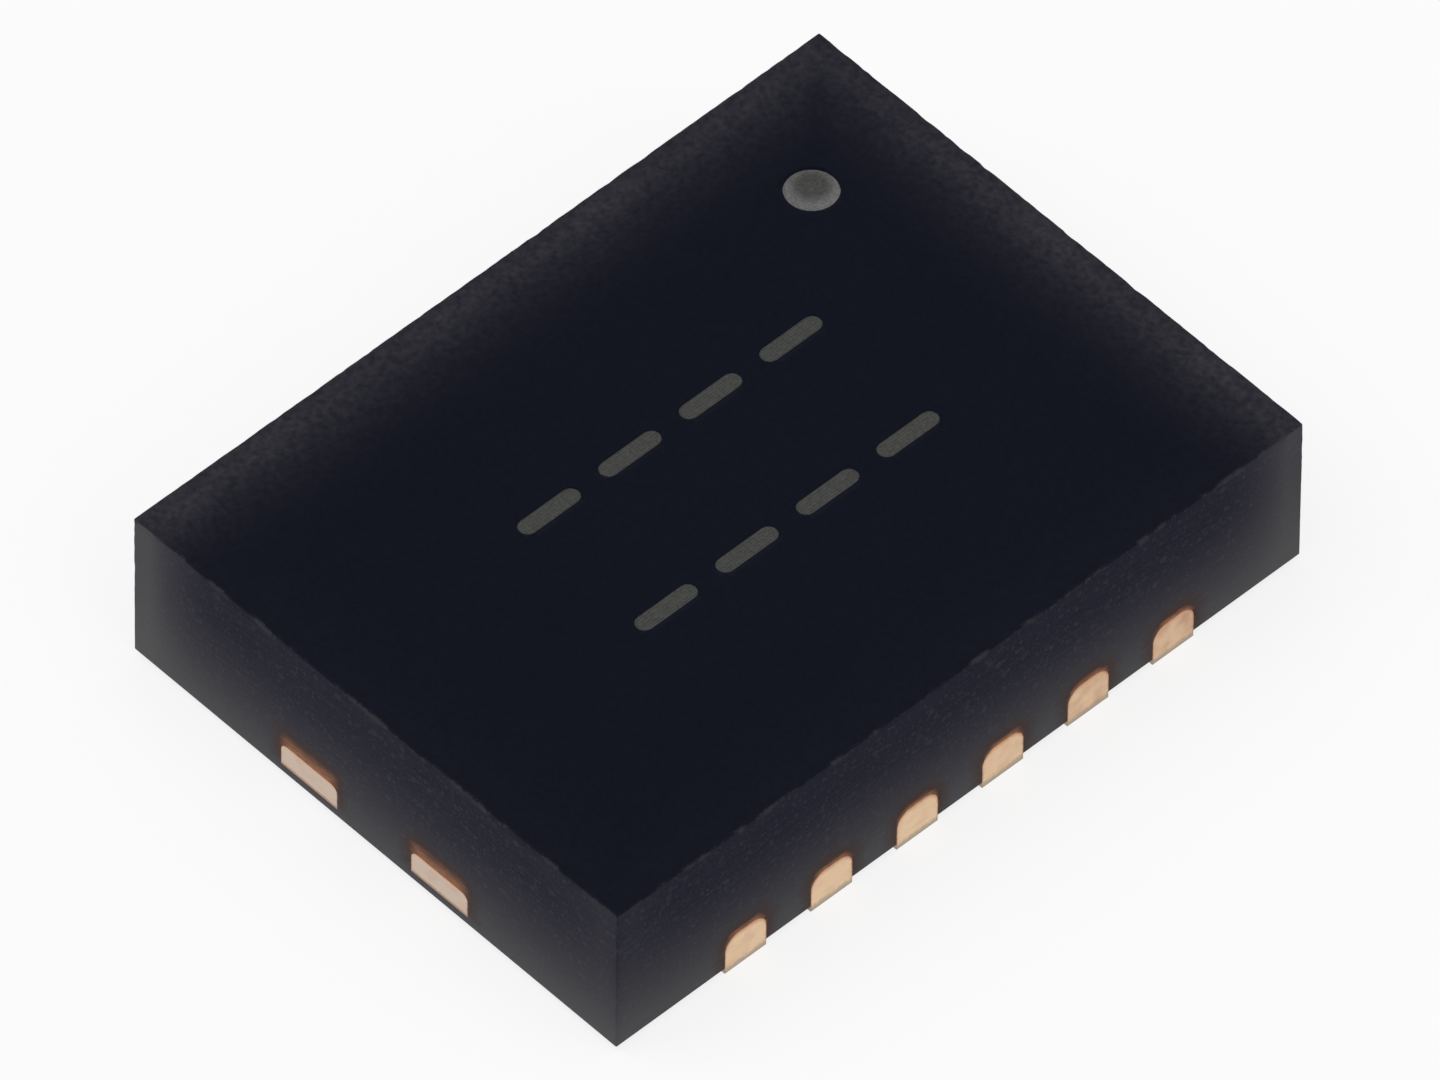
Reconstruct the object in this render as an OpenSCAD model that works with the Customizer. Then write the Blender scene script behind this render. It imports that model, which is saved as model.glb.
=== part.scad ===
// Voltage regulator in a leadless dual flat package, with its parts in their places inside the moulding.
// X runs across the short side, Y along the long side and Z up from the board.
// The origin is at the middle of the underside, level with the soldered faces. All sizes are in millimetres.

/* [Package] */
// Length of the package, along Y
body_l = 4; // [3.8:0.1:5]
// Width of the package, along X
body_w = 3; // [2.8:0.1:4]
// Height of the package from the soldered faces to the moulded top
body_h = 0.89; // [0.8:0.01:1]
// How far the soldered faces stand below the moulding
standoff = 0.03; // [0:0.01:0.05]
// Diameter of the round mark at terminal one
dot_d = 0.25; // [0.15:0.01:0.4]
// Depth of the round mark
dot_depth = 0.02; // [0.01:0.01:0.05]
// From the long side to the middle of the round mark
dot_inset_x = 0.62; // [0.4:0.01:0.9]
// From the short side to the middle of the round mark
dot_inset_y = 0.63; // [0.4:0.01:0.9]

/* [Leadframe] */
// Thickness of the copper sheet, with its solder finish
frame_t = 0.215; // [0.18:0.005:0.25]
// How deep the sheet is etched away from below under its thin stretches
etch_depth = 0.08; // [0.06:0.01:0.11]
// Terminals along each long side
leads_per_side = 6; // [4:1:7]
// Distance from one terminal to the next
pitch = 0.5; // [0.4:0.05:0.55]
// Width of a terminal
lead_w = 0.24; // [0.2:0.01:0.3]
// Length of a terminal's soldered face, inwards from the sawn side
lead_l = 0.4; // [0.3:0.01:0.5]
// How far a terminal's thin tip reaches inwards past its soldered face
lead_shelf = 0.05; // [0.02:0.01:0.08]
// Radius of a terminal's two upper edges
shoulder_r = 0.08; // [0.03:0.01:0.09]

/* [Die paddle] */
// Gap between the soldered faces of a terminal and of the paddle
lead_gap = 0.25; // [0.2:0.01:0.3]
// From the paddle's soldered face to the short side
end_gap = 0.35; // [0.25:0.01:0.45]
// Radius of the paddle's corners
paddle_r = 0.1; // [0.05:0.01:0.15]
// Cut across the paddle's corner that points to terminal one
paddle_cut = 0.35; // [0.2:0.01:0.4]
// How far the paddle's thin rim stands out along its long sides
rim_side = 0.05; // [0.02:0.01:0.08]
// How far the paddle's thin rim stands out at its ends
rim_end = 0.1; // [0.05:0.01:0.15]
// Width of a tie bar
tie_w = 0.35; // [0.2:0.01:0.5]
// Distance between the two tie bars at one end
tie_pitch = 0.81; // [0.7:0.01:1]
// Radius of a tie bar's two upper edges
tie_r = 0.04; // [0.02:0.01:0.08]

/* [Silicon die] */
// Width of the die, along X
die_w = 1.2; // [1:0.05:1.35]
// Length of the die, along Y
die_l = 2.2; // [1.8:0.1:2.9]
// Thickness of the die
die_t = 0.25; // [0.15:0.01:0.3]
// Side of a square bond pad
bond_pad_w = 0.1; // [0.09:0.01:0.12]
// Thickness of a bond pad
bond_pad_t = 0.005; // [0.003:0.001:0.01]
// From the die's edge to the middle of a bond pad
bond_inset = 0.12; // [0.08:0.01:0.16]
// Thickness of the die attach under the die
attach_t = 0.025; // [0.015:0.005:0.04]
// How far the die attach spreads past the die
attach_spread = 0.05; // [0.03:0.01:0.07]
// How far the die attach climbs up the die's sides
attach_climb = 0.06; // [0.03:0.01:0.1]

/* [Bond wires] */
// Diameter of a bond wire
wire_d = 0.038; // [0.02:0.001:0.05]
// Diameter of the squashed ball on the die
ball_d = 0.085; // [0.07:0.001:0.09]
// Thickness of the squashed ball
ball_t = 0.018; // [0.012:0.001:0.03]
// Diameter of the neck, where the wire leaves the ball
neck_d = 0.046; // [0.042:0.001:0.054]
// Height of the neck above the ball
neck_h = 0.05; // [0.03:0.01:0.08]
// Radius of the wire's bend at the top of its loop
bend_r = 0.07; // [0.05:0.01:0.09]
// Diameter of the flattened foot on the terminal
foot_d = 0.08; // [0.06:0.01:0.09]
// Thickness of the flattened foot
foot_t = 0.01; // [0.006:0.001:0.015]
// From a terminal's inner tip to the middle of the foot
foot_inset = 0.12; // [0.08:0.01:0.16]

/* [Hidden] */
$fn = 48;
overcut = 1;
lead_count = 2 * leads_per_side;
dot_x = dot_inset_x - body_w / 2;
dot_y = body_l / 2 - dot_inset_y;
lead_reach = lead_l + lead_shelf;
paddle_w = body_w - 2 * (lead_l + lead_gap);
paddle_l = body_l - 2 * end_gap;
die_z = frame_t + attach_t;
bond_z = die_z + die_t + bond_pad_t;
bond_x = die_w / 2 - bond_inset;
bond_pitch = (die_l - 2 * bond_inset) / (leads_per_side - 1);
foot_x = body_w / 2 - lead_reach + foot_inset;
neck_z = bond_z + ball_t + neck_h;
// The wire goes on round its bend by this many degrees inside the neck
neck_turn = 10;

// Terminals count down one long side, at minus X, and back up the other.
function side(i) = i <= leads_per_side ? -1 : 1;
// Steps from the middle of the row, positive towards plus Y
function row_place(i) =
    i <= leads_per_side ? (leads_per_side + 1) / 2 - i : i - leads_per_side - (leads_per_side + 1) / 2;
function lead_y(i) = row_place(i) * pitch;
function bond_y(i) = row_place(i) * bond_pitch;

// Steepness of a wire that leaves a bend of radius r and meets a point that lies
// across and down from the bend's centre
function wire_slope(across, down, r) = atan2(down, across) + asin(r / norm([across, down]));
// Length of that wire from the bend to the point
function wire_run(across, down, r) = sqrt(across * across + down * down - r * r);

module rounded_plate(w, l, r) {
    square([w - 2 * r, l], center = true);
    square([w, l - 2 * r], center = true);
    for (x = [r - w / 2, w / 2 - r], y = [r - l / 2, l / 2 - r])
        translate([x, y]) circle(r);
}

// Section of an etched bar, flat below and with round upper edges
module bar_section(w, low, high, r) {
    translate([-w / 2, low]) square([w, high - low - r]);
    translate([r - w / 2, low]) square([w - 2 * r, high - low]);
    for (x = [r - w / 2, w / 2 - r])
        translate([x, high - r]) circle(r);
}

// Plan of a terminal, from the sawn side at x = 0 to its round tip at minus reach
module terminal_plan(reach) {
    tip_r = lead_w / 2;
    translate([tip_r - reach, -tip_r]) square([reach - tip_r, lead_w]);
    translate([tip_r - reach, 0]) circle(tip_r);
}

module terminal_blank() {
    intersection() {
        rotate([90, 0, -90]) linear_extrude(lead_reach)
            bar_section(lead_w, 0, frame_t, shoulder_r);
        union() {
            linear_extrude(frame_t) terminal_plan(lead_l);
            translate([0, 0, etch_depth]) linear_extrude(frame_t - etch_depth)
                terminal_plan(lead_reach);
        }
    }
}

module terminal(i) {
    color([0.82, 0.72, 0.6])
        translate([side(i) * body_w / 2, lead_y(i), 0])
            rotate([0, 0, side(i) > 0 ? 0 : 180]) terminal_blank();
}

module paddle_face() {
    difference() {
        rounded_plate(paddle_w, paddle_l, paddle_r);
        translate([-paddle_w / 2, paddle_l / 2]) rotate(45)
            square(paddle_cut * sqrt(2), center = true);
    }
}

module tie_bar() {
    rotate([90, 0, 180]) linear_extrude(end_gap)
        bar_section(tie_w, etch_depth, frame_t, tie_r);
}

module die_paddle() {
    color([0.8, 0.71, 0.62]) {
        linear_extrude(frame_t) paddle_face();
        translate([0, 0, etch_depth]) linear_extrude(frame_t - etch_depth)
            rounded_plate(paddle_w + 2 * rim_side, paddle_l + 2 * rim_end, paddle_r);
        for (end = [0, 180], x = [-tie_pitch / 2, tie_pitch / 2])
            rotate([0, 0, end]) translate([x, body_l / 2 - end_gap, 0]) tie_bar();
    }
}

module die_block() {
    translate([-die_w / 2, -die_l / 2, die_z]) cube([die_w, die_l, die_t]);
}

module silicon_die() {
    color([0.36, 0.38, 0.44]) {
        die_block();
        for (i = [1:lead_count])
            translate([side(i) * bond_x - bond_pad_w / 2, bond_y(i) - bond_pad_w / 2, die_z])
                cube([bond_pad_w, bond_pad_w, die_t + bond_pad_t]);
    }
}

// Section of the attach's bed across a die of width w, with its sides leaning in to the die
module attach_section(w) {
    top = attach_t + attach_climb;
    foot = w / 2 + attach_spread;
    polygon([[-foot, 0], [foot, 0], [w / 2, top], [-w / 2, top]]);
}

module die_attach() {
    color([0.72, 0.72, 0.7])
        difference() {
            translate([0, 0, frame_t]) intersection() {
                rotate([90, 0, 0]) linear_extrude(die_l + 2 * attach_spread, center = true)
                    attach_section(die_w);
                rotate([90, 0, 90]) linear_extrude(die_w + 2 * attach_spread, center = true)
                    attach_section(die_l);
            }
            die_block();
        }
}

// The wire from its bend onwards: the straight run goes up Z from the origin, and the bend
// that leads into it turns below the origin, round a centre at x = bend_r
module run_and_bend(run, turn) {
    cylinder(d = wire_d, h = run);
    rotate([0, 0, 180]) translate([-bend_r, 0, 0]) rotate([-90, 0, 0])
        rotate_extrude(angle = turn) translate([bend_r, 0]) circle(d = wire_d);
}

// A wire in the XZ plane, from the ball at x = 0 to the foot at x = across
module wire_loop(across) {
    slope = wire_slope(across - bend_r, neck_z - frame_t, bend_r);
    run = wire_run(across - bend_r, neck_z - frame_t, bend_r);
    translate([0, 0, bond_z]) cylinder(d = ball_d, h = ball_t);
    translate([0, 0, bond_z]) cylinder(d1 = ball_d - ball_t, d2 = neck_d, h = ball_t + neck_h);
    difference() {
        union() {
            translate([bend_r * (1 + sin(slope)), 0, neck_z + bend_r * cos(slope)])
                rotate([0, 90 + slope, 0]) run_and_bend(run + 2 * wire_d, 90 + slope + neck_turn);
            translate([across, 0, frame_t - foot_t]) cylinder(d = foot_d, h = 2 * foot_t);
        }
        translate([across - overcut, -overcut, frame_t - 2 * overcut]) cube(2 * overcut);
    }
}

module bond_wire(i) {
    across = foot_x - bond_x;
    along = lead_y(i) - bond_y(i);
    color([0.9, 0.72, 0.35])
        translate([side(i) * bond_x, bond_y(i), 0])
            rotate([0, 0, atan2(along, side(i) * across)]) wire_loop(norm([across, along]));
}

module inner_parts() {
    die_paddle();
    silicon_die();
    die_attach();
    for (i = [1:lead_count]) {
        terminal(i);
        bond_wire(i);
    }
}

module mould_body() {
    color([0.1, 0.1, 0.13])
        difference() {
            translate([-body_w / 2, -body_l / 2, standoff])
                cube([body_w, body_l, body_h - standoff]);
            translate([dot_x, dot_y, body_h - dot_depth]) cylinder(d = dot_d, h = 2 * dot_depth);
            inner_parts();
        }
}

mould_body();
die_paddle();
die_attach();
silicon_die();
for (i = [1:lead_count]) {
    terminal(i);
    bond_wire(i);
}
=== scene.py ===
import math

import bmesh
import bpy
from mathutils import Matrix, Vector, noise


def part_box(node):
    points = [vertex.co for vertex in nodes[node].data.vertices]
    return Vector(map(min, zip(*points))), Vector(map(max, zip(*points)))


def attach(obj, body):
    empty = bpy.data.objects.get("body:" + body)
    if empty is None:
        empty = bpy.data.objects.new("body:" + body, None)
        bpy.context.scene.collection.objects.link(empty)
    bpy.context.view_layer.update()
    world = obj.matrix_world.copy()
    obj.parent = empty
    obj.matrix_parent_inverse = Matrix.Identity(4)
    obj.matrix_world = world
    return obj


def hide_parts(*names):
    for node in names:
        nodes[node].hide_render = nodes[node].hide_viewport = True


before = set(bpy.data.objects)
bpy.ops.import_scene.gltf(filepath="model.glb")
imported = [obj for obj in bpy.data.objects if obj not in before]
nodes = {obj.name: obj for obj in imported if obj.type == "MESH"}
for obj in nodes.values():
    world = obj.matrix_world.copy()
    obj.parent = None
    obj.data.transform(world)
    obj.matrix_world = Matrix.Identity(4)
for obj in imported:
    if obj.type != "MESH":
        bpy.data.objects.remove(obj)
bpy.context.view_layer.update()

# Voltage regulator in a leadless package, sawn out of a moulded strip.
# +Y runs along the 4 mm length, +X across the 3 mm width, and the part stands on z = 0.
mm = 0.001  # one drawing millimetre in Blender's metres
print("packed part loaded with", len(nodes), "nodes")


# Adding things to the scene, and turning them towards the part

def addObject(name, data):
    item = bpy.data.objects.new(name, data)
    bpy.context.scene.collection.objects.link(item)
    return item


def addMesh(name, bm):
    # makes an object of finished geometry, and lets go of the geometry
    mesh = bpy.data.meshes.new(name)
    bm.to_mesh(mesh)
    bm.free()
    return addObject(name, mesh)


def directionFrom(azimuth, elevation):
    # the unit vector from the part towards a camera or lamp
    a, e = math.radians(azimuth), math.radians(elevation)
    return Vector((math.sin(a) * math.cos(e), -math.cos(a) * math.cos(e), math.sin(e)))


def standOff(view, target):
    # where a camera or lamp stands, turned to look at the target
    away = directionFrom(view["azimuth"], view["elevation"])
    facing = (-away).to_track_quat("-Z", "Y").to_matrix().to_4x4()
    return Matrix.Translation(target + away * view["distance"]) @ facing


# Camera, at the photograph's angle

cameraView = {
    "azimuth": 46.25,  # degrees round from -Y towards +X
    "elevation": 49.94,
    "roll": 0.64,
    "lens": 1000,  # a very long lens, as the photograph's lines stay parallel
    "distance": 170.17 * mm,
    "lookAt": Vector((-0.008, 0.017, 0.415)) * mm,
    "nearest": 10 * mm,
    "furthest": 5,  # metres
}


def placeCamera(view):
    data = bpy.data.cameras.new("productCamera")
    data.lens = view["lens"]
    data.clip_start = view["nearest"]
    data.clip_end = view["furthest"]
    camera = addObject("productCamera", data)
    roll = Matrix.Rotation(math.radians(view["roll"]), 4, "Z")
    camera.matrix_world = standOff(view, view["lookAt"]) @ roll
    bpy.context.scene.camera = camera


placeCamera(cameraView)
print("camera placed")


# Short ways to write shader nodes

def shade(tree, kind, inputs=None, **settings):
    # one shader node: plain values go on its sockets, and other nodes' outputs are linked to them
    node = tree.nodes.new("ShaderNode" + kind)
    for name, value in settings.items():
        setattr(node, name, value)
    for key, value in (inputs or {}).items():
        socket = node.inputs[key]
        if isinstance(value, bpy.types.NodeSocket):
            tree.links.new(value, socket)
        elif socket.type == "RGBA":
            socket.default_value = (*value, 1)
        else:
            socket.default_value = value
    return node


def calc(tree, operation, *values, clamp=False):
    node = shade(tree, "Math", dict(enumerate(values)), operation=operation, use_clamp=clamp)
    return node.outputs[0]


def ramp(tree, value, start, end, low=0.0, high=1.0, turn="LINEAR"):
    # low up to start, high from end on, with a straight slope between
    inputs = {0: value, 1: start, 2: end, 3: low, 4: high}
    return shade(tree, "MapRange", inputs, interpolation_type=turn).outputs[0]


def fade(tree, value, start, end, low=0.0, high=1.0):
    # the same with a smooth turn between
    return ramp(tree, value, start, end, low, high, "SMOOTHSTEP")


def blendValues(tree, share, first, second):
    return shade(tree, "Mix", {0: share, 2: first, 3: second}, data_type="FLOAT").outputs[0]


def blendColours(tree, share, first, second, kind="MIX"):
    # a Mix node has its colours on sockets 6 and 7 and on its third output
    node = shade(tree, "Mix", {0: share, 6: first, 7: second}, data_type="RGBA", blend_type=kind)
    return node.outputs[2]


def toned(tree, colour, tone):
    # the colour made darker where the tone is below 1, and lighter where it is above
    grey = shade(tree, "CombineColor", {0: tone, 1: tone, 2: tone}).outputs[0]
    return blendColours(tree, 1.0, colour, grey, "MULTIPLY")


def flatPoint(tree, x, y):
    # a point of the plane that the part stands on
    return shade(tree, "CombineXYZ", {0: x, 1: y}).outputs[0]


def flatLength(tree, x, y):
    # how far that point is from the middle
    return shade(tree, "VectorMath", {0: flatPoint(tree, x, y)}, operation="LENGTH").outputs["Value"]


def partPoint(tree):
    # the place on the part, in metres
    return shade(tree, "TexCoord").outputs["Object"]


def partPlace(tree):
    # the same as its X, Y and Z
    return shade(tree, "SeparateXYZ", {0: partPoint(tree)}).outputs


def grain(tree, size, point=None, detail=3):
    # noise whose lumps are about size millimetres across
    inputs = {"Vector": point or partPoint(tree), "Scale": 1 / (size * mm), "Detail": detail}
    return shade(tree, "TexNoise", inputs).outputs[0]


noiseLevels = (0.3, 0.7)  # noise stays mostly between these


def vary(tree, lumps, low, high):
    # noise stretched so that it mostly runs from low to high
    return ramp(tree, lumps, *noiseLevels, low, high)


def wander(tree, lumps, swing, width):
    # noise as a distance in metres, half the width to each side where it is this far from 0.5
    return calc(tree, "MULTIPLY", ramp(tree, lumps, 0.5 - swing, 0.5 + swing, -0.5, 0.5), width * mm)


def newFinish(name, colour, roughness, metallic=0.0, specular=0.5):
    # roughness is the range that the finished material has
    material = bpy.data.materials.new(name)
    material.use_nodes = True
    material.diffuse_color = (*colour, 1)
    sockets = material.node_tree.nodes["Principled BSDF"].inputs
    sockets["Base Color"].default_value = (*colour, 1)
    sockets["Roughness"].default_value = sum(roughness) / 2
    sockets["Metallic"].default_value = metallic
    sockets["Specular IOR Level"].default_value = specular
    return material, material.node_tree


def complete(material, colour, roughness, relief, depth):
    # gives the shader its colour and roughness, and a relief that is depth millimetres high
    tree = material.node_tree
    sockets = tree.nodes["Principled BSDF"].inputs
    bump = shade(tree, "Bump", {"Height": relief, "Distance": depth * mm})
    tree.links.new(colour, sockets["Base Color"])
    tree.links.new(roughness, sockets["Roughness"])
    tree.links.new(bump.outputs[0], sockets["Normal"])
    return material


# Studio: a pale table under three soft boxes, with white all round for the camera

studio = {
    "ambient": 0.45,  # what the world adds to the level
    "tableSize": 1.2,  # metres
    "tableColour": (0.86, 0.86, 0.86),
    "tableWhite": 0.80,  # the share of the table that shows as plain white behind the part
    "backdropColour": (1, 1, 1),
    "backdropLevel": 1.0,
}
softBoxes = {  # their distances and sizes are in metres
    "overheadBox": {"azimuth": 10, "elevation": 82, "distance": 1.0, "size": 1.2, "level": 0.30},
    "leftBox": {"azimuth": -35, "elevation": 42, "distance": 1.0, "size": 1.0, "level": 0.20},
    "rightBox": {"azimuth": 95, "elevation": 38, "distance": 1.0, "size": 1.0, "level": 0.19},
}


def seenDirectly(tree):
    # 1 for the rays that show the backdrop: camera, glossy and transmission rays
    rays = shade(tree, "LightPath").outputs
    either = calc(tree, "MAXIMUM", rays["Is Camera Ray"], rays["Is Glossy Ray"])
    return calc(tree, "MAXIMUM", either, rays["Is Transmission Ray"])


def endWithMix(tree, output, share, first, second):
    # the output node of a world or material that blends two shaders
    chosen = shade(tree, "MixShader", {0: share, 1: first.outputs[0], 2: second.outputs[0]})
    shade(tree, output, {"Surface": chosen.outputs[0]})


def makeWorld():
    world = bpy.data.worlds.new("whiteStudio")
    world.use_nodes = True
    bpy.context.scene.world = world
    tree = world.node_tree
    tree.nodes.clear()
    white = studio["backdropColour"]
    ambient = shade(tree, "Background", {"Color": white, "Strength": studio["ambient"]})
    backdrop = shade(tree, "Background", {"Color": white, "Strength": studio["backdropLevel"]})
    endWithMix(tree, "OutputWorld", seenDirectly(tree), ambient, backdrop)


def makeTable():
    half = studio["tableSize"] / 2
    bm = bmesh.new()
    corners = [bm.verts.new((x * half, y * half, 0)) for x, y in ((-1, -1), (1, -1), (1, 1), (-1, 1))]
    bm.faces.new(corners)
    table = addMesh("paleTable", bm)
    material = bpy.data.materials.new("paleTable")
    material.use_nodes = True
    tree = material.node_tree
    tree.nodes.clear()
    surface = shade(tree, "BsdfDiffuse", {"Color": studio["tableColour"]})
    glow = {"Color": studio["backdropColour"], "Strength": studio["backdropLevel"]}
    share = calc(tree, "MULTIPLY", seenDirectly(tree), studio["tableWhite"])
    endWithMix(tree, "OutputMaterial", share, surface, shade(tree, "Emission", glow))
    table.data.materials.append(material)


def makeSoftBox(name, box):
    data = bpy.data.lights.new(name, "AREA")
    data.shape = "DISK"
    data.size = box["size"]
    # a soft box of this power adds its level to how bright a white card facing it shows
    spread = 1 + (0.5 * box["size"] / box["distance"]) ** 2
    data.energy = box["level"] * (math.pi * box["distance"]) ** 2 * spread
    addObject(name, data).matrix_world = standOff(box, Vector())


makeWorld()
makeTable()
for name, box in softBoxes.items():
    makeSoftBox(name, box)
bpy.context.scene.view_settings.view_transform = "Standard"
print("studio lit with", len(softBoxes), "soft boxes")


# Where copper shows: the sawn ends of the terminals on the long sides, and of tie bars on the short ones

terminalEnd = {
    "halfWidth": 0.12,
    "pitch": 0.5,
    "perSide": 6,
    "bottom": -1.0,  # open below: it goes down to the table
    "top": 0.215,
    "shoulder": 0.08,
    "smear": 0.030,  # how far up the saw dragged copper onto the compound
    "warm": 0.020,  # how wide a band below its upper edge turned redder
    "rimLift": 0,  # its dark rim stays where the copper ends
}
tieBarEnd = {
    "halfWidth": 0.175,
    "pitch": 0.81,
    "perSide": 2,
    "bottom": 0.08,
    "top": 0.215,
    "shoulder": 0.04,
    "smear": 0.075,
    "warm": 0.008,
    "rimLift": 0.010,  # how far up its dark rim has moved with the smear
}
sawCut = {
    "bladeRadius": 28,  # the lines that the blade leaves bend with its rim
    "sideDepth": 0.02,  # how far in from a side a point still counts as on it
}


def endGap(tree, along, height, end, lift):
    # distance from a row of sawn ends, in metres: below zero on the copper, and above zero outside it
    height = calc(tree, "SUBTRACT", height, lift * mm)
    first = end["pitch"] / 2  # each row is even in number, so its middle lies between two ends
    last = end["perSide"] // 2 - 1
    radius = end["shoulder"]
    away = calc(tree, "ABSOLUTE", along)
    steps = calc(tree, "DIVIDE", calc(tree, "SUBTRACT", away, first * mm), end["pitch"] * mm)
    number = calc(tree, "MINIMUM", calc(tree, "MAXIMUM", calc(tree, "ROUND", steps), 0), last)
    centre = calc(tree, "MULTIPLY_ADD", number, end["pitch"] * mm, first * mm)
    aside = calc(tree, "ABSOLUTE", calc(tree, "SUBTRACT", away, centre))
    sideways = calc(tree, "SUBTRACT", aside, (end["halfWidth"] - radius) * mm)
    upwards = calc(tree, "SUBTRACT", height, (end["top"] - radius) * mm)
    overShoulder = flatLength(tree, calc(tree, "MAXIMUM", sideways, 0), calc(tree, "MAXIMUM", upwards, 0))
    inside = calc(tree, "MINIMUM", calc(tree, "MAXIMUM", sideways, upwards), 0)
    gap = calc(tree, "SUBTRACT", calc(tree, "ADD", overShoulder, inside), radius * mm)
    return calc(tree, "MAXIMUM", gap, calc(tree, "SUBTRACT", end["bottom"] * mm, height))


def onLongSides(tree):
    # 1 on the sides that hold the terminals, and 0 on those that hold the tie bars
    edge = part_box("mould_body")[1].x - sawCut["sideDepth"] * mm
    return calc(tree, "GREATER_THAN", calc(tree, "ABSOLUTE", partPlace(tree)["X"]), edge)


def ofEnd(tree, name):
    # a length from the dictionary of whichever ends are on the point's side, in metres
    return blendValues(tree, onLongSides(tree), tieBarEnd[name] * mm, terminalEnd[name] * mm)


def copperGap(tree, name, sense=1):
    # the distance from those ends, all moved up by their length of this name, or down for a sense of -1
    place = partPlace(tree)
    fromTieBars = endGap(tree, place["X"], place["Z"], tieBarEnd, sense * tieBarEnd[name])
    fromTerminals = endGap(tree, place["Y"], place["Z"], terminalEnd, sense * terminalEnd[name])
    return blendValues(tree, onLongSides(tree), fromTieBars, fromTerminals)


def sawGrain(tree, size, stretch, detail=3):
    # grain drawn out along the cut, into the lines that the blade leaves
    place = partPlace(tree)
    along = calc(tree, "ADD", place["X"], place["Y"])
    rise = calc(tree, "MULTIPLY", calc(tree, "MULTIPLY", along, along), 0.5 / (sawCut["bladeRadius"] * mm))
    height = calc(tree, "ADD", place["Z"], rise)
    drawnOut = shade(tree, "CombineXYZ", {0: calc(tree, "DIVIDE", along, stretch), 2: height})
    return grain(tree, size, drawnOut.outputs[0], detail)


# Painted sheen and painted highlights at the block's edges, with some wear, on the top and on the sides

edgeSheenAndWear = {
    "topSheen": (0.037, 0.036, 0.043),  # painted sheen on the top, near the edges
    "sideSheen": (0.106, 0.103, 0.104),  # painted sheen on the sides, towards their upright edges
    "sheenWidth": 0.80,
    "sheenFade": 4.3,  # it fades fast at first, then slowly
    "sheenCrest": 0.10,  # the painted sheen is strongest this far in, and less at the edge itself
    "sheenAtEdge": 0.5,  # the share of it that there is at the very edge
    "topSheenInFront": 0.07,  # the share of it along the edges at +X and -Y
    "sideSheenInFront": 0.19,  # the share of it at the edge between +X and -Y
    "highlitWear": (0.030, 0.030, 0.037),  # painted highlight along the edges of the top, with wear
    "highlitWearOnTop": 0.022,  # how wide a strip
    "highlitWearOnSides": 0.05,  # and how wide a strip below them
    "highlitWearFull": 0.1,  # the share of that strip, next to the edge, where it is brightest
    "highlitWearPatch": 0.12,  # size of the places where they are brighter and more worn, or less
    "patchLevels": (0.35, 0.7),  # where their noise starts to add to the highlight and wear, and where it adds most
    "highlitWearAmount": (0.1, 0.8),  # the highlight and wear at those levels
    "speck": 0.010,
    "speckLevels": (0.75, 1.15),  # where noise and that highlight and wear together start to show a speck, and show it all
    "speckCover": 0.6,  # how much of the face a speck covers
    "betweenSpecks": 0.25,  # and what lies between the specks
}


def edgeDistances(tree, high):
    # how far a point is from the nearest long side and from the nearest short side, in metres
    place = partPlace(tree)
    toLong = calc(tree, "SUBTRACT", high.x, calc(tree, "ABSOLUTE", place["X"]))
    toShort = calc(tree, "SUBTRACT", high.y, calc(tree, "ABSOLUTE", place["Y"]))
    return toLong, toShort


def edgeGap(tree, high):
    # how far a point on the top or the sides is from the nearest edge of the top, in metres
    fromTop = calc(tree, "SUBTRACT", high.z, partPlace(tree)["Z"])
    return calc(tree, "MAXIMUM", calc(tree, "MINIMUM", *edgeDistances(tree, high)), fromTop)


def paintHighlitWear(tree, colour, high, width):
    # painted highlight along the edges of the top, with wear, in fine specks, here more and there less
    nearEdge = ramp(tree, edgeGap(tree, high), edgeSheenAndWear["highlitWearFull"] * width * mm, width * mm, 1, 0)
    patches = grain(tree, edgeSheenAndWear["highlitWearPatch"])
    patchy = fade(tree, patches, *edgeSheenAndWear["patchLevels"], *edgeSheenAndWear["highlitWearAmount"])
    amount = calc(tree, "MULTIPLY", nearEdge, patchy)
    specks = calc(tree, "ADD", amount, grain(tree, edgeSheenAndWear["speck"]))
    specks = fade(tree, specks, *edgeSheenAndWear["speckLevels"], 0, edgeSheenAndWear["speckCover"])
    share = calc(tree, "MULTIPLY_ADD", amount, edgeSheenAndWear["betweenSpecks"], specks)
    return blendColours(tree, share, colour, edgeSheenAndWear["highlitWear"])


def sheenAt(tree, gap):
    # how much painted sheen the compound gets at this distance from an edge
    near = ramp(tree, gap, 0, edgeSheenAndWear["sheenWidth"] * mm, 1, 0)
    crest = ramp(tree, gap, 0, edgeSheenAndWear["sheenCrest"] * mm, edgeSheenAndWear["sheenAtEdge"], 1)
    return calc(tree, "MULTIPLY", calc(tree, "POWER", near, edgeSheenAndWear["sheenFade"]), crest)


def topSheen(tree, low, high):
    # painted sheen on the top: it spreads in from the two edges at -X and +Y, and less from the other two
    place = partPlace(tree)
    fromSide = calc(tree, "SUBTRACT", place["X"], low.x)
    fromEnd = calc(tree, "SUBTRACT", high.y, place["Y"])
    strong = sheenAt(tree, calc(tree, "MINIMUM", fromSide, fromEnd))
    weak = calc(tree, "MULTIPLY", sheenAt(tree, edgeGap(tree, high)), edgeSheenAndWear["topSheenInFront"])
    return calc(tree, "MAXIMUM", strong, weak)


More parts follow.
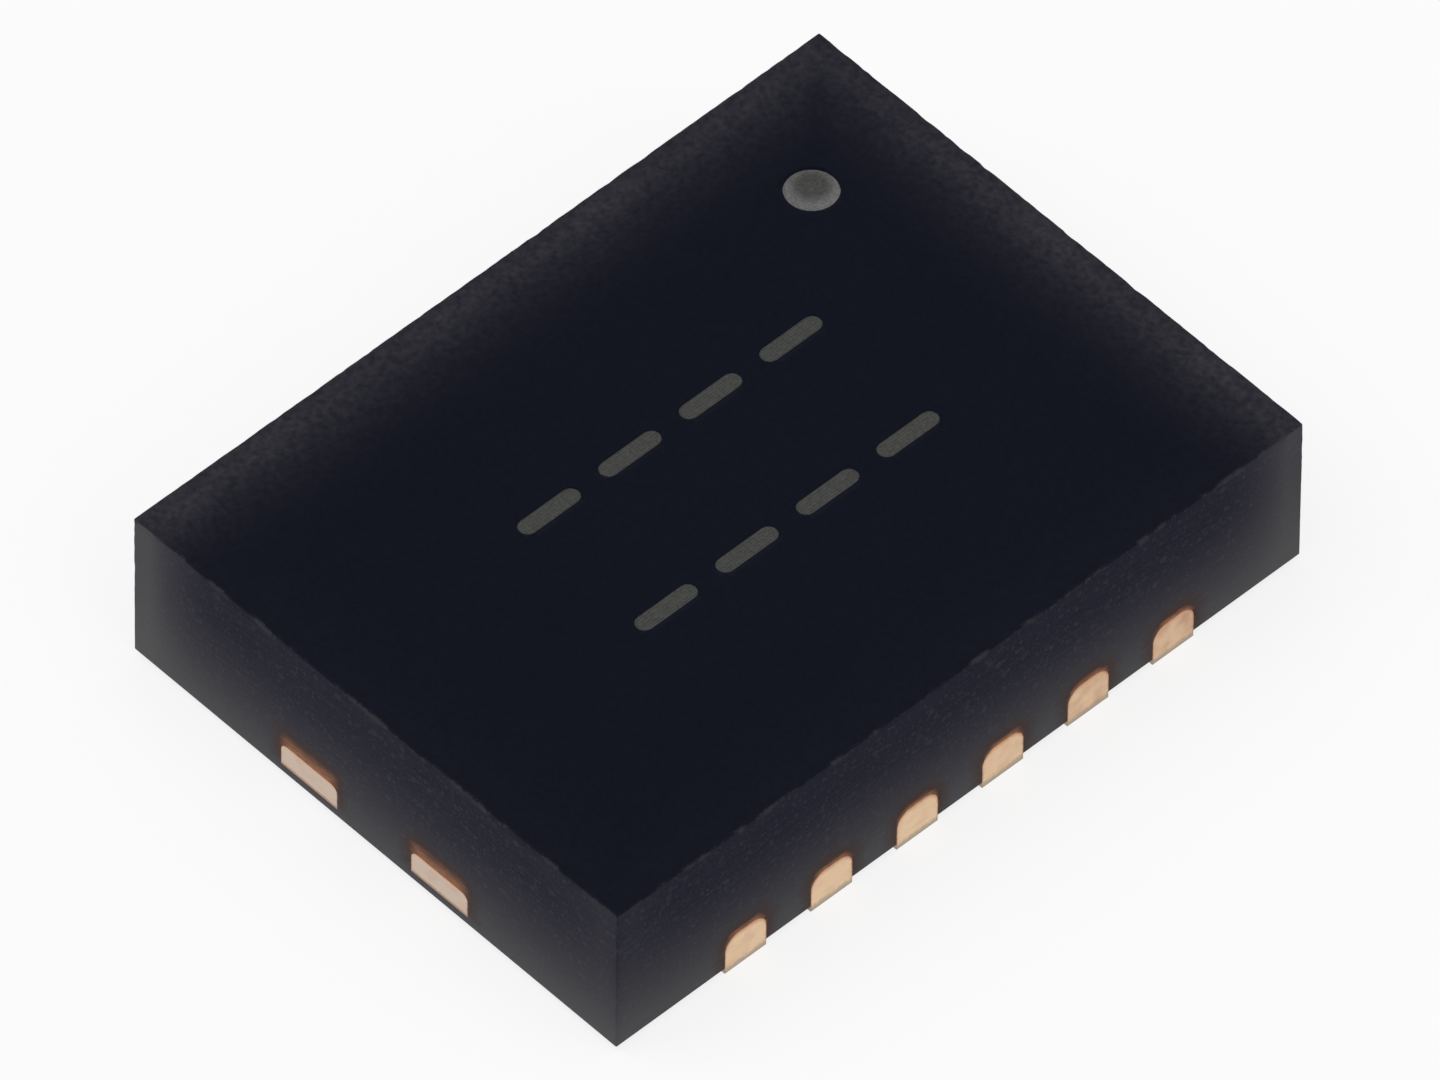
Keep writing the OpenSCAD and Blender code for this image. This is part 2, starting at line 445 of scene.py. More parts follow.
def sideSheen(tree, high):
    # painted sheen on the sides: it spreads from the upright edges, least from the one between +X and -Y
    place = partPlace(tree)
    paintedSheen = sheenAt(tree, calc(tree, "MAXIMUM", *edgeDistances(tree, high)))
    front = calc(tree, "GREATER_THAN", place["X"], 0), calc(tree, "LESS_THAN", place["Y"], 0)
    share = blendValues(tree, calc(tree, "MULTIPLY", *front), 1.0, edgeSheenAndWear["sideSheenInFront"])
    return calc(tree, "MULTIPLY", paintedSheen, share)


# Moulding compound: black epoxy filled with fine silica, as the mould and the tape left it

mouldedFace = {
    "colour": (0.0018, 0.0026, 0.0080),  # near black with a little blue
    "specular": 0.045,
    "roughness": (0.50, 0.56),
    "cloud": 0.6,  # size of the patches that are a little rougher or smoother
    "grain": 0.022,
    "grainTone": (0.84, 1.16),
    "relief": 0.0016,
    "sheenClouds": (0.8, 1.15),  # how much the painted sheen varies with the clouds
    "sheenBlotch": 0.03,
    "sheenBlotches": (0.6, 1.4),  # and with the blotches
}
tapedFace = {
    "colour": (0.0085, 0.0085, 0.0110),  # underside, smoother because it is moulded against a tape
    "specular": 0.06,
    "roughness": (0.44, 0.56),
    "flow": 0.35,  # size of the patches in which the compound set
    "flowTone": (0.75, 1.3),
    "grain": 0.03,
    "relief": 0.0008,
}


def mouldedFinish(low, high):
    look = mouldedFace
    material, tree = newFinish("mouldedFace", look["colour"], look["roughness"], specular=look["specular"])
    fine = grain(tree, look["grain"])
    cloud = grain(tree, look["cloud"])
    # painted sheen near the edges of the top, made uneven, then a painted highlight with wear along those
    # edges
    blotched = vary(tree, grain(tree, look["sheenBlotch"], detail=4), *look["sheenBlotches"])
    uneven = calc(tree, "MULTIPLY", vary(tree, cloud, *look["sheenClouds"]), blotched)
    paintedSheen = calc(tree, "MULTIPLY", topSheen(tree, low, high), uneven, clamp=True)
    colour = blendColours(tree, paintedSheen, look["colour"], edgeSheenAndWear["topSheen"])
    colour = paintHighlitWear(tree, colour, high, edgeSheenAndWear["highlitWearOnTop"])
    return complete(
        material,
        colour=toned(tree, colour, vary(tree, fine, *look["grainTone"])),
        roughness=vary(tree, cloud, *look["roughness"]),
        relief=fine,
        depth=look["relief"],
    )


def tapedFinish():
    look = tapedFace
    material, tree = newFinish("tapedFace", look["colour"], look["roughness"], specular=look["specular"])
    flow = grain(tree, look["flow"], detail=4)
    return complete(
        material,
        colour=toned(tree, look["colour"], vary(tree, flow, *look["flowTone"])),
        roughness=vary(tree, flow, *look["roughness"]),
        relief=grain(tree, look["grain"]),
        depth=look["relief"],
    )


# The same compound where the saw cut through it

sawnSide = {
    "nearTop": (0.0040, 0.0038, 0.0150),
    "tableBounce": (0.078, 0.076, 0.080),  # painted bounce light from the table, lightest at the bottom of each side
    "tableBounceHeight": 0.75,
    "tableBounceFade": 2.0,  # the painted bounce light fades fast at first, then slowly
    "roughness": (0.57, 0.67),
    "longSides": {"specular": 0.070, "paintedSheen": 0.75},  # they get less painted sheen and a lower specular level, so they show darker
    "shortSides": {"specular": 0.090, "paintedSheen": 1.0},
    "lines": (0.02, 33),  # the blade's lines: how fine, and how far drawn out
    "lineTone": (0.93, 1.07),
    "relief": 0.0012,
    "filler": (0.095, 0.095, 0.100),  # silica grains that the saw cut through
    "fillerCover": 0.16,
    "fillerGrains": ((0.044, 0.25), (0.025, 0.50), (0.014, 0.70)),  # their size and how many show
    "fillerRadius": (0.20, 0.46),  # for cells one wide
    "fillerEdge": (-0.04, 0.02),  # from that radius, where a grain starts to end, and where it has ended
    "fillerFaint": 0.05,  # grains whose chance is this near to the limit are faint
    "fillerPaleness": (0.25, 1),
    "fillerPits": 0.4,  # how deep they are, next to the lines
    "smear": (0.36, 0.16, 0.085),  # copper that the saw dragged up onto the compound above each end
    "smearCover": 0.95,
    "smearSpan": (-1, 0.3),  # it thins out from the copper's edge at -1 to a little past its height at 0
    "smearStreaks": (0.010, 4),  # how fine, and how far drawn out
    "streakTone": (0.5, 1.1),
    "stain": (0.050, 0.023, 0.0150),  # and the brown round it
    "stainCover": 0.7,
    "stainWidth": 0.085,
    "ragged": (0.025, 4),  # the fringe of both, in the same way
    "raggedSwing": 0.25,  # it is widest where its noise is this far from the middle
    "raggedWidth": 0.04,
    "raggedSmear": 0.6,  # how much of that width the smear has
}


def fillerShare(tree, size, share):
    # how much of a cut silica grain shows at a point, for grains about this many millimetres apart
    cells = shade(tree, "TexVoronoi", {"Vector": partPoint(tree), "Scale": 1 / (size * mm)}).outputs
    chance = shade(tree, "SeparateColor", {0: cells["Color"]}).outputs
    radius = ramp(tree, chance[0], 0, 1, *sawnSide["fillerRadius"])
    cut = calc(tree, "SUBTRACT", cells["Distance"], radius)
    cut = fade(tree, cut, *sawnSide["fillerEdge"], 1, 0)
    paleness = ramp(tree, chance[1], 0, 1, *sawnSide["fillerPaleness"])
    hidden, faint = 1 - share, sawnSide["fillerFaint"]
    present = fade(tree, chance[2], hidden - faint, hidden + faint)
    return calc(tree, "MULTIPLY", calc(tree, "MULTIPLY", cut, paleness), present)


def paintDraggedCopper(tree, colour):
    # it covers the compound right above each end, thins out in streaks, and has a brown stain round it
    fringe = sawGrain(tree, *sawnSide["ragged"], detail=4)
    ragged = wander(tree, fringe, sawnSide["raggedSwing"], sawnSide["raggedWidth"])
    gap = copperGap(tree, "smear")
    stained = calc(tree, "ADD", gap, ragged)
    stained = ramp(tree, stained, 0, sawnSide["stainWidth"] * mm, sawnSide["stainCover"], 0)
    colour = blendColours(tree, stained, colour, sawnSide["stain"])
    thinned = calc(tree, "MULTIPLY_ADD", ragged, sawnSide["raggedSmear"], gap)
    thinned = calc(tree, "DIVIDE", thinned, ofEnd(tree, "smear"))
    thinned = fade(tree, thinned, *sawnSide["smearSpan"], sawnSide["smearCover"], 0)
    streaks = vary(tree, sawGrain(tree, *sawnSide["smearStreaks"]), *sawnSide["streakTone"])
    smeared = calc(tree, "MULTIPLY", thinned, streaks, clamp=True)
    return blendColours(tree, smeared, colour, sawnSide["smear"])


def sawnFinish(name, side, low, high):
    look = sawnSide
    material, tree = newFinish(name, look["nearTop"], look["roughness"], specular=side["specular"])
    lines = sawGrain(tree, *look["lines"])
    filler = fillerShare(tree, *look["fillerGrains"][0])
    for size, share in look["fillerGrains"][1:]:
        filler = calc(tree, "MAXIMUM", filler, fillerShare(tree, size, share))
    # painted bounce light: the sides turn lighter towards the table
    bounceTop = low.z + look["tableBounceHeight"] * mm
    paintedBounce = ramp(tree, partPlace(tree)["Z"], low.z, bounceTop, 1, 0)
    paintedBounce = calc(tree, "POWER", paintedBounce, look["tableBounceFade"])
    colour = blendColours(tree, paintedBounce, look["nearTop"], look["tableBounce"])
    # painted sheen towards the upright edges
    paintedSheen = calc(tree, "MULTIPLY", sideSheen(tree, high), side["paintedSheen"])
    colour = blendColours(tree, paintedSheen, colour, edgeSheenAndWear["sideSheen"])
    pale = calc(tree, "MULTIPLY", filler, look["fillerCover"])
    colour = blendColours(tree, pale, colour, look["filler"])
    colour = toned(tree, colour, vary(tree, lines, *look["lineTone"]))
    # painted highlight with specks of wear along the top's edges
    colour = paintHighlitWear(tree, colour, high, edgeSheenAndWear["highlitWearOnSides"])
    return complete(
        material,
        colour=paintDraggedCopper(tree, colour),
        roughness=vary(tree, lines, *look["roughness"]),
        relief=calc(tree, "SUBTRACT", lines, calc(tree, "MULTIPLY", filler, look["fillerPits"])),
        depth=look["relief"],
    )


# The marks in the top: bars that a laser etched, and the moulded dot for terminal one

etchedBars = {
    "rows": (-0.33, 0.395),  # X of the two rows
    "perRow": 4,
    "pitch": 0.47,
    "middle": 0.025,  # Y of the middle of each row
    "length": 0.34,
    "width": 0.09,
    "depth": 0.004,
    "endSteps": 8,
    "colour": (0.050, 0.052, 0.049),  # compound burnt pale by the laser
    "specular": 0.15,
    "stroke": 0.015,  # from one pass of the laser to the next
    "strokeTone": 0.14,
    "strokeWaver": 4,  # how far the melted grain pushes the strokes about
    "strokeRelief": 0.2,  # next to the melted grain
    "grainTone": (0.72, 1.28),
}
terminalDot = {
    "floor": (0.056, 0.056, 0.053),
    "rim": (0.165, 0.165, 0.168),
    "specular": 0.12,
    "paintedShadeX": -0.904,  # painted shade in the recess: the dark middle of its floor sits off centre towards -X and +Y, leaving a painted highlight on the pale etched rim towards +X and -Y
    "paintedShadeY": 1.396,
    "paintedShadeRadius": 0.050,
    "paleRadius": 0.125,  # from here on the rim is at its palest
    "grainTone": (0.75, 1.25),
}
mattGrain = {  # what the bars and the dot share
    "size": 0.014,
    "relief": 0.003,
    "roughness": (0.72, 0.88),
}


def completeMatt(material, colour, melted, relief):
    roughness = vary(material.node_tree, melted, *mattGrain["roughness"])
    return complete(material, colour, roughness, relief, mattGrain["relief"])


def etchedFinish():
    # the laser burnt each bar in strokes along its length
    look = etchedBars
    material, tree = newFinish("etchedBar", look["colour"], mattGrain["roughness"], specular=look["specular"])
    melted = grain(tree, mattGrain["size"])
    across = calc(tree, "MULTIPLY", partPlace(tree)["X"], 2 * math.pi / (look["stroke"] * mm))
    wavering = calc(tree, "ADD", across, calc(tree, "MULTIPLY", melted, look["strokeWaver"]))
    strokes = calc(tree, "SINE", wavering)
    tone = calc(tree, "MULTIPLY_ADD", strokes, look["strokeTone"], vary(tree, melted, *look["grainTone"]))
    relief = calc(tree, "MULTIPLY_ADD", strokes, look["strokeRelief"], melted)
    return completeMatt(material, toned(tree, look["colour"], tone), melted, relief)


def dotFinish():
    # a matt floor that turns pale towards the etched rim, with painted shade round a middle set off centre
    look = terminalDot
    material, tree = newFinish("dotFloor", look["floor"], mattGrain["roughness"], specular=look["specular"])
    place = partPlace(tree)
    # painted shade in the recess, round a middle that sits off centre
    acrossX = calc(tree, "SUBTRACT", place["X"], look["paintedShadeX"] * mm)
    acrossY = calc(tree, "SUBTRACT", place["Y"], look["paintedShadeY"] * mm)
    away = flatLength(tree, acrossX, acrossY)
    rim = fade(tree, away, look["paintedShadeRadius"] * mm, look["paleRadius"] * mm)
    colour = blendColours(tree, rim, look["floor"], look["rim"])
    melted = grain(tree, mattGrain["size"])
    colour = toned(tree, colour, vary(tree, melted, *look["grainTone"]))
    return completeMatt(material, colour, melted, melted)


# Mould block: replaces the plain CAD block, with its pockets, softened edges, chips and etched bars

mouldBlock = {
    "edgeRadius": 0.008,
    "step": 0.03,  # size of the mesh's squares
    "arcSteps": 3,
    "sharpAngle": 35,  # degrees; faces that meet less sharply are shaded as one
    "chipDepth": 0.005,
    "chipReach": 0.026,
    "chipBase": 0.15,  # share of the depth that is gone before the chips add to it or take from it
    "chipCoarse": (0.10, 1.1),  # length of the larger chips, and how much they add or take
    "chipFine": (0.025, 0.8),
    "chipShift": Vector((7, 3, 5)),  # so that the finer chips don't repeat the larger ones
    "reach": 0.05,  # how far the cutting shapes run past the outside
    "outerSkin": 0.0001,  # corners this near to the outside are on it
    "weld": 0.00002,  # corners nearer to each other than this are one
    "uprightBelow": 0.7,  # a face is upright where its normal rises less than this
    "levelAbove": 0.9,  # and level where it rises more
    "deepestMark": 0.1,  # below this depth a level face belongs to a pocket
}


def gridLines(low, high, radius, step, arcSteps):
    # places of the grid's lines along one axis: close together round both edges, and even between
    turns = [math.tan(math.radians(45) * (1 - i / arcSteps)) for i in range(arcSteps)]
    flat = high - low - 2 * radius
    count = round(flat / step)
    middle = [low + radius + flat * i / count for i in range(count + 1)]
    before = [low + radius * (1 - t) for t in turns]
    after = [high - radius * (1 - t) for t in reversed(turns)]
    return before + middle + after


def chipAt(point, low, high):
    # how far the sawn edges are broken away at this point, in millimetres
    gaps = sorted(min(point[i] - low[i], high[i] - point[i]) for i in range(3))
    near = max(0.0, 1 - math.hypot(gaps[0], gaps[1]) / mouldBlock["chipReach"])
    coarseLength, coarseShare = mouldBlock["chipCoarse"]
    fineLength, fineShare = mouldBlock["chipFine"]
    coarse = coarseShare * noise.noise(point / coarseLength)
    fine = fineShare * noise.noise(point / fineLength + mouldBlock["chipShift"])
    unheld = (point.z - low.z) / (high.z - low.z)  # the sawing tape keeps the lower edges whole
    return mouldBlock["chipDepth"] * near * unheld * max(0.0, mouldBlock["chipBase"] + coarse + fine)


def latticeBlock(low, high):
    # a closed block of small squares with rounded, slightly chipped edges
    radius, step, arcSteps = mouldBlock["edgeRadius"], mouldBlock["step"], mouldBlock["arcSteps"]
    lines = [gridLines(low[i], high[i], radius, step, arcSteps) for i in range(3)]
    coreLow = Vector([value + radius for value in low])
    coreHigh = Vector([value - radius for value in high])
    centre = (coreLow + coreHigh) / 2
    bm = bmesh.new()
    made = {}

    def corner(key):
        if key not in made:
            point = Vector([lines[i][key[i]] for i in range(3)])
            core = Vector([min(max(point[i], coreLow[i]), coreHigh[i]) for i in range(3)])
            outwards = (point - core).normalized()
            rounded = core + outwards * radius
            rounded -= (rounded - centre).normalized() * chipAt(rounded, low, high)
            made[key] = bm.verts.new(rounded)
        return made[key]

    for axis in range(3):
        across, along = (axis + 1) % 3, (axis + 2) % 3
        for end in (0, len(lines[axis]) - 1):
            for i in range(len(lines[across]) - 1):
                for j in range(len(lines[along]) - 1):
                    square = [(i, j), (i + 1, j), (i + 1, j + 1), (i, j + 1)]
                    if end == 0:
                        square.reverse()
                    keys = []
                    for a, b in square:
                        key = [0, 0, 0]
                        key[axis], key[across], key[along] = end, a, b
                        keys.append(tuple(key))
                    bm.faces.new([corner(key) for key in keys])
    return bm


def combine(piece, tool, operation):
    # applies one boolean, and removes the tool
    modifier = piece.modifiers.new("combine", "BOOLEAN")
    modifier.operation = operation
    modifier.solver = "MANIFOLD"
    modifier.object = tool
    evaluated = piece.evaluated_get(bpy.context.evaluated_depsgraph_get())
    mesh = bpy.data.meshes.new_from_object(evaluated)
    piece.modifiers.clear()
    piece.data = mesh
    mesh.name = piece.name
    bpy.data.objects.remove(tool)


def pocketForm(low, high):
    # the CAD mould in millimetres, with its outer faces pushed out so that only its pockets cut
    bm = bmesh.new()
    bm.from_mesh(nodes["mould_body"].data)
    bmesh.ops.remove_doubles(bm, verts=bm.verts, dist=mouldBlock["weld"] * mm)
    bmesh.ops.scale(bm, vec=(1 / mm,) * 3, verts=bm.verts)
    for vertex in bm.verts:
        for i in range(3):
            if vertex.co[i] > high[i] - mouldBlock["outerSkin"]:
                vertex.co[i] += mouldBlock["reach"]
            elif vertex.co[i] < low[i] + mouldBlock["outerSkin"]:
                vertex.co[i] -= mouldBlock["reach"]
    return addMesh("pocketForm", bm)


def barOutline(x, y):
    # one etched bar with round ends, seen from above
    halfWidth = etchedBars["width"] / 2
    straight = etchedBars["length"] / 2 - halfWidth
    outline = []
    for end in (1, -1):
        for i in range(etchedBars["endSteps"] + 1):
            turn = math.pi * i / etchedBars["endSteps"]
            along = straight + halfWidth * math.sin(turn)
            outline.append((x + end * halfWidth * math.cos(turn), y + end * along))
    return outline


def barForm(top):
    # the etched bars as cutting shapes
    bm = bmesh.new()
    first = etchedBars["middle"] - etchedBars["pitch"] * (etchedBars["perRow"] - 1) / 2
    lift = Vector((0, 0, etchedBars["depth"] + mouldBlock["reach"]))
    for x in etchedBars["rows"]:
        for n in range(etchedBars["perRow"]):
            outline = barOutline(x, first + n * etchedBars["pitch"])
            floor = [bm.verts.new((*place, top - etchedBars["depth"])) for place in outline]
            lifted = bmesh.ops.extrude_face_region(bm, geom=[bm.faces.new(floor)])["geom"]
            upper = [item for item in lifted if isinstance(item, bmesh.types.BMVert)]
            bmesh.ops.translate(bm, vec=lift, verts=upper)
    bmesh.ops.recalc_face_normals(bm, faces=bm.faces)
    return addMesh("barForm", bm)


def faceKind(face, low, high):
    # which of the block's finishes a face has, from where it lies and points
    skin = mouldBlock["edgeRadius"] * mm
    onSide = abs(face.center.x) > high.x - skin or abs(face.center.y) > high.y - skin
    if onSide and abs(face.normal.z) < mouldBlock["uprightBelow"]:
        return "longSide" if abs(face.normal.x) > abs(face.normal.y) else "shortSide"
    if face.normal.z < -mouldBlock["uprightBelow"] and face.center.z < low.z + skin:
        return "taped"
    depth = (high.z - face.center.z) / mm
    if face.normal.z > mouldBlock["levelAbove"] and depth < mouldBlock["deepestMark"]:
        if depth > 2 * etchedBars["depth"]:  # well below the floors of the bars
            return "dot"
        if depth > 0.9 * etchedBars["depth"]:  # as deep as those floors
            return "etched"
    return "moulded"


def makeMouldBlock():
    low, high = (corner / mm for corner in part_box("mould_body"))
    piece = addMesh("mouldBlock", latticeBlock(low, high))
    combine(piece, pocketForm(low, high), "INTERSECT")
    combine(piece, barForm(high.z), "DIFFERENCE")
    mesh = piece.data
    mesh.transform(Matrix.Scale(mm, 4))
    low, high = low * mm, high * mm
    blockFinishes = {
        "moulded": mouldedFinish(low, high),
        "longSide": sawnFinish("sawnLongSide", sawnSide["longSides"], low, high),
        "etched": etchedFinish(),
        "dot": dotFinish(),
        "taped": tapedFinish(),
        "shortSide": sawnFinish("sawnShortSide", sawnSide["shortSides"], low, high),
    }
    mesh.materials.clear()
    for finish in blockFinishes.values():
        mesh.materials.append(finish)
    kinds = list(blockFinishes)
    for face in mesh.polygons:
        face.material_index = kinds.index(faceKind(face, low, high))
    mesh.set_sharp_from_angle(angle=math.radians(mouldBlock["sharpAngle"]))
    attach(piece, "root")
    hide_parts("mould_body")
    print("mould block made with", len(mesh.polygons), "faces")


makeMouldBlock()


# Leadframe: half-etched copper, sawn bare at the package's sides and tinned underneath

leadframe = {
    "terminal": (0.775, 0.565, 0.370),  # freshly sawn
    "tieBar": (0.62, 0.49, 0.40),  # sawn through half-etched copper, a little pinker
    "roughness": (0.36, 0.52),
    "relief": 0.0012,
    "lines": (0.008, 30),  # the blade's lines: how fine, and how far drawn out
    "lineTone": (0.95, 1.05),
    "scratches": (0.004, 70),
    "scratchLevels": (0.60, 0.72),  # where their noise starts to show one, and shows all of it
    "scratch": (0.36, 0.20, 0.12),
    "scratchCover": 0.22,
    "scratchDepth": 0.5,  # next to the lines
    "tarnish": (0.52, 0.30, 0.19),  # patches where it has darkened
    "tarnishSize": 0.08,
    "tarnishLevels": (0.42, 0.75),  # the same for a patch
    "tarnishPatches": 0.28,
    "tarnishAtEnd": 0.45,  # how much more of it there is at the +Y end
    "tarnishGrows": (-0.3, 1.4),  # Y where that begins, and where there is all of it
    "tarnishUneven": (0.5, 1.5),
    "ragged": 0.02,  # how fine the fringe of each band is
    "raggedSwing": 0.3,  # it is widest where its noise is this far from the middle
    "raggedWidth": 0.010,
    "warm": (0.66, 0.35, 0.19),  # redder along its upper edge
    "warmCover": 0.9,
    "warmTurn": 0.5,  # how much of its width it takes to turn, to each side of its lower edge
    "rim": (0.34, 0.17, 0.095),  # dark red-brown edge round each sawn end
    "rimWidth": 0.009,
    "rimCover": 0.7,
    "burr": 0.8,  # how high the saw has rolled up that edge, next to its lines
    "footShade": (0.37, 0.30, 0.23),  # painted shade along the terminals' lower edge, next to the table
    "footShadeHeight": 0.050,
    "footShadeCover": 0.85,
    "footShadeFull": 0.2,  # the share of that height, at the foot, where it covers most
    "footShadeRagged": 3,  # how much more ragged than the rim
}
tinFinish = {
    "colour": (0.60, 0.59, 0.56),
    "grain": 0.012,
    "grainTone": (0.84, 1.12),
    "roughness": (0.44, 0.60),
    "facing": (-0.9, -0.6),  # the rise of a normal where a face is all tinned, and where it is bare
}


def paintTarnish(tree, colour):
    patches = grain(tree, leadframe["tarnishSize"])
    share = fade(tree, patches, *leadframe["tarnishLevels"], 0, leadframe["tarnishPatches"])
    begins, full = leadframe["tarnishGrows"]
    growth = ramp(tree, partPlace(tree)["Y"], begins * mm, full * mm, 0, leadframe["tarnishAtEnd"])
    growth = calc(tree, "MULTIPLY", growth, vary(tree, patches, *leadframe["tarnishUneven"]))
    share = calc(tree, "ADD", share, growth, clamp=True)
    return blendColours(tree, share, colour, leadframe["tarnish"])


def paintWarmBand(tree, colour, ragged):
    gap = calc(tree, "ADD", copperGap(tree, "warm", -1), ragged)
    share = calc(tree, "DIVIDE", gap, ofEnd(tree, "warm"))
    share = fade(tree, share, -leadframe["warmTurn"], leadframe["warmTurn"], 0, leadframe["warmCover"])
    return blendColours(tree, share, colour, leadframe["warm"])


def paintFootShade(tree, colour, ragged):
    top = leadframe["footShadeHeight"] * mm
    height = calc(tree, "MULTIPLY_ADD", ragged, leadframe["footShadeRagged"], partPlace(tree)["Z"])
    share = fade(tree, height, leadframe["footShadeFull"] * top, top, leadframe["footShadeCover"], 0)
    return blendColours(tree, share, colour, leadframe["footShade"])


def copperFinish(name, sawn):
    material, tree = newFinish(name, sawn, leadframe["roughness"], metallic=1.0)
    lines = sawGrain(tree, *leadframe["lines"])
    scratches = sawGrain(tree, *leadframe["scratches"], detail=1)
    scratches = fade(tree, scratches, *leadframe["scratchLevels"])
    fringe = grain(tree, leadframe["ragged"])
    ragged = wander(tree, fringe, leadframe["raggedSwing"], leadframe["raggedWidth"])
    rim = calc(tree, "ADD", copperGap(tree, "rimLift"), ragged)
    rim = fade(tree, rim, -leadframe["rimWidth"] * mm, 0)
    scratchShare = calc(tree, "MULTIPLY", scratches, leadframe["scratchCover"])
    rimShare = calc(tree, "MULTIPLY", rim, leadframe["rimCover"])
    colour = paintTarnish(tree, sawn)
    colour = blendColours(tree, scratchShare, colour, leadframe["scratch"])
    colour = paintWarmBand(tree, colour, ragged)
    colour = blendColours(tree, rimShare, colour, leadframe["rim"])
    # painted shade along the terminals' foot, next to the table
    colour = paintFootShade(tree, colour, ragged)
    colour = toned(tree, colour, vary(tree, lines, *leadframe["lineTone"]))
    roughness = vary(tree, lines, *leadframe["roughness"])
    relief = calc(tree, "MULTIPLY_ADD", scratches, -leadframe["scratchDepth"], lines)
    relief = calc(tree, "MULTIPLY_ADD", rim, leadframe["burr"], relief)

    # tin on the faces that point down
    normal = shade(tree, "TexCoord").outputs["Normal"]
    facing = shade(tree, "SeparateXYZ", {0: normal}).outputs
    underneath = fade(tree, facing["Z"], *tinFinish["facing"], 1, 0)
    crystals = grain(tree, tinFinish["grain"])
    tinColour = toned(tree, tinFinish["colour"], vary(tree, crystals, *tinFinish["grainTone"]))
    tinRoughness = vary(tree, crystals, *tinFinish["roughness"])
    return complete(
        material,
        colour=blendColours(tree, underneath, colour, tinColour),
        roughness=blendValues(tree, underneath, roughness, tinRoughness),
        relief=blendValues(tree, underneath, relief, crystals),
        depth=leadframe["relief"],
    )


# Inside the moulding: the die in its bed of silver epoxy, and the gold wires

dieLook = {
    "sawn": (0.16, 0.16, 0.17),
    "metallic": 0.6,
    "grain": 0.02,
    "roughness": (0.45, 0.6),
    "relief": 0.0006,
    "glassRoughness": 0.22,
    "circuits": (0.055, 0.045, 0.080),
    "blocks": (0.130, 0.110, 0.095),
    "blockSize": 0.42,
    "blockScatter": 0.8,
    "tracks": (0.34, 0.31, 0.26),
    "trackPitch": 0.03,
    "trackWidth": 0.06,  # this and the next two are shares of the pitch
    "trackLength": 2.5,
    "trackSpacing": 0.5,
    "fieldTone": 0.35,  # how strongly some of the fields between the tracks show
    "trackCover": (0.2, 0.8),  # in the barest block, and in the fullest
    "trackChance": (0.2, 0.9),  # which blocks those are, from 0 to 1 by chance
    "paleChance": (0.4, 0.5),  # a block turns into a pale one between these
    "padMetal": (0.78, 0.78, 0.76),
    "padHeight": 0.005,
    "skin": 0.001,  # how far below a face its look starts; half-way up from there it is whole
}
attachLook = {
    "colour": (0.5, 0.5, 0.48),
    "metallic": 0.7,
    "grain": 0.02,  # flakes of silver
    "detail": 3,
    "grainTone": (0.7, 1.2),
    "roughness": (0.35, 0.65),
    "relief": 0.003,
}
wireLook = {
    "colour": (0.83, 0.62, 0.26),
    "metallic": 1.0,
    "grain": 0.01,
    "detail": 2,
    "grainTone": (0.93, 1.05),
    "roughness": (0.22, 0.36),
    "relief": 0.0004,
}


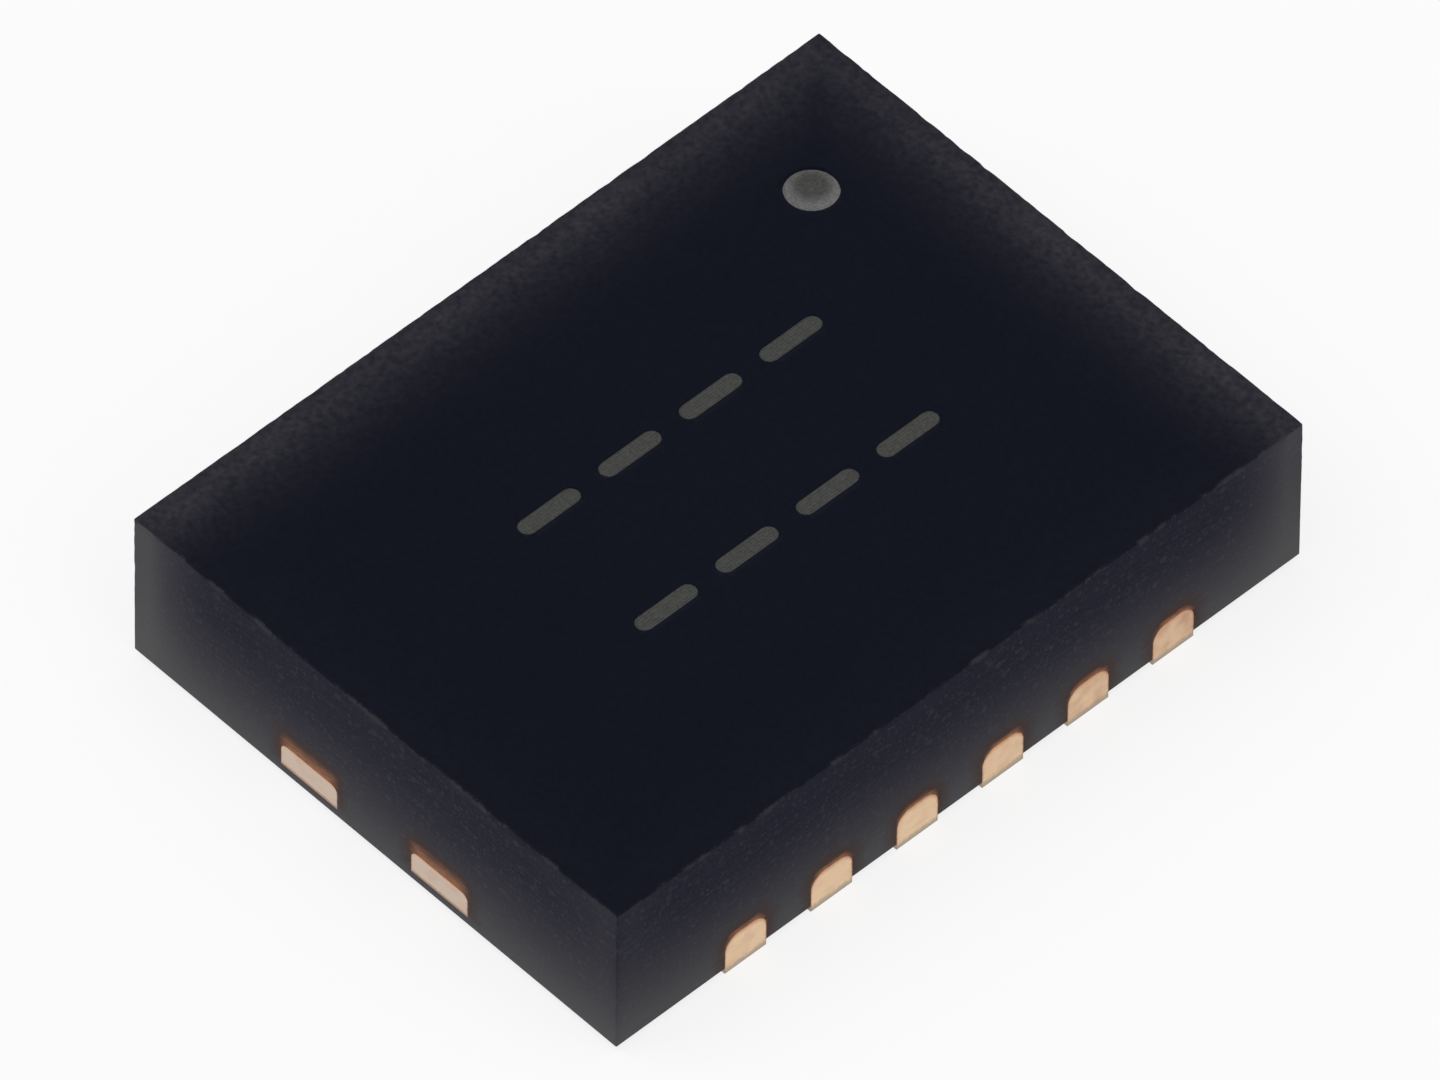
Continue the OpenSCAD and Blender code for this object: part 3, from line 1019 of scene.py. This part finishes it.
def circuitPattern(tree, place):
    # blocks of circuits with tracks across them
    flat = flatPoint(tree, place["X"], place["Y"])
    blockInputs = {
        "Vector": flat,
        "Scale": 1 / (dieLook["blockSize"] * mm),
        "Randomness": dieLook["blockScatter"],
    }
    cells = shade(tree, "TexVoronoi", blockInputs, distance="CHEBYCHEV").outputs
    block = shade(tree, "SeparateColor", {0: cells["Color"]}).outputs[0]
    trackInputs = {
        "Vector": flat,
        "Scale": 1 / (dieLook["trackPitch"] * mm),
        "Color1": (0, 0, 0),
        "Color2": (dieLook["fieldTone"],) * 3,
        "Mortar": (1, 1, 1),
        "Mortar Size": dieLook["trackWidth"],
        "Brick Width": dieLook["trackLength"],
        "Row Height": dieLook["trackSpacing"],
    }
    tracks = shade(tree, "TexBrick", trackInputs).outputs["Color"]
    cover = ramp(tree, block, *dieLook["trackChance"], *dieLook["trackCover"])
    shown = calc(tree, "MULTIPLY", tracks, cover)
    pale = fade(tree, block, *dieLook["paleChance"])
    pattern = blendColours(tree, pale, dieLook["circuits"], dieLook["blocks"])
    return blendColours(tree, shown, pattern, dieLook["tracks"])


def dieFinish():
    # circuits under glass on the top, sawn silicon on the sides, and aluminium on the raised pads
    look = dieLook
    material, tree = newFinish("siliconDie", look["sawn"], look["roughness"], metallic=look["metallic"])
    place = partPlace(tree)
    skin = look["skin"] * mm
    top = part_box("silicon_die")[1].z
    glass = top - look["padHeight"] * mm
    onTop = fade(tree, place["Z"], glass - skin, glass - 0.5 * skin)
    onPad = fade(tree, place["Z"], top - skin, top - 0.5 * skin)
    colour = blendColours(tree, onTop, look["sawn"], circuitPattern(tree, place))
    fine = grain(tree, look["grain"], detail=2)
    roughness = vary(tree, fine, *look["roughness"])
    return complete(
        material,
        colour=blendColours(tree, onPad, colour, look["padMetal"]),
        roughness=blendValues(tree, onTop, roughness, look["glassRoughness"]),
        relief=fine,
        depth=look["relief"],
    )


def grainyMetal(name, look):
    # one colour of metal that its grain makes a little uneven
    material, tree = newFinish(name, look["colour"], look["roughness"], metallic=look["metallic"])
    lumps = grain(tree, look["grain"], detail=look["detail"])
    return complete(
        material,
        colour=toned(tree, look["colour"], vary(tree, lumps, *look["grainTone"])),
        roughness=vary(tree, lumps, *look["roughness"]),
        relief=lumps,
        depth=look["relief"],
    )


finishes = {
    "terminal": copperFinish("terminalCopper", leadframe["terminal"]),
    "die_paddle": copperFinish("paddleCopper", leadframe["tieBar"]),
    "silicon_die": dieFinish(),
    "die_attach": grainyMetal("silverEpoxy", attachLook),
    "bond_wire": grainyMetal("goldWire", wireLook),
}
for nodeName, node in nodes.items():
    for start, finish in finishes.items():
        if nodeName.startswith(start):
            node.data.materials[0] = finish
print("finishes given to the leadframe and the inside")
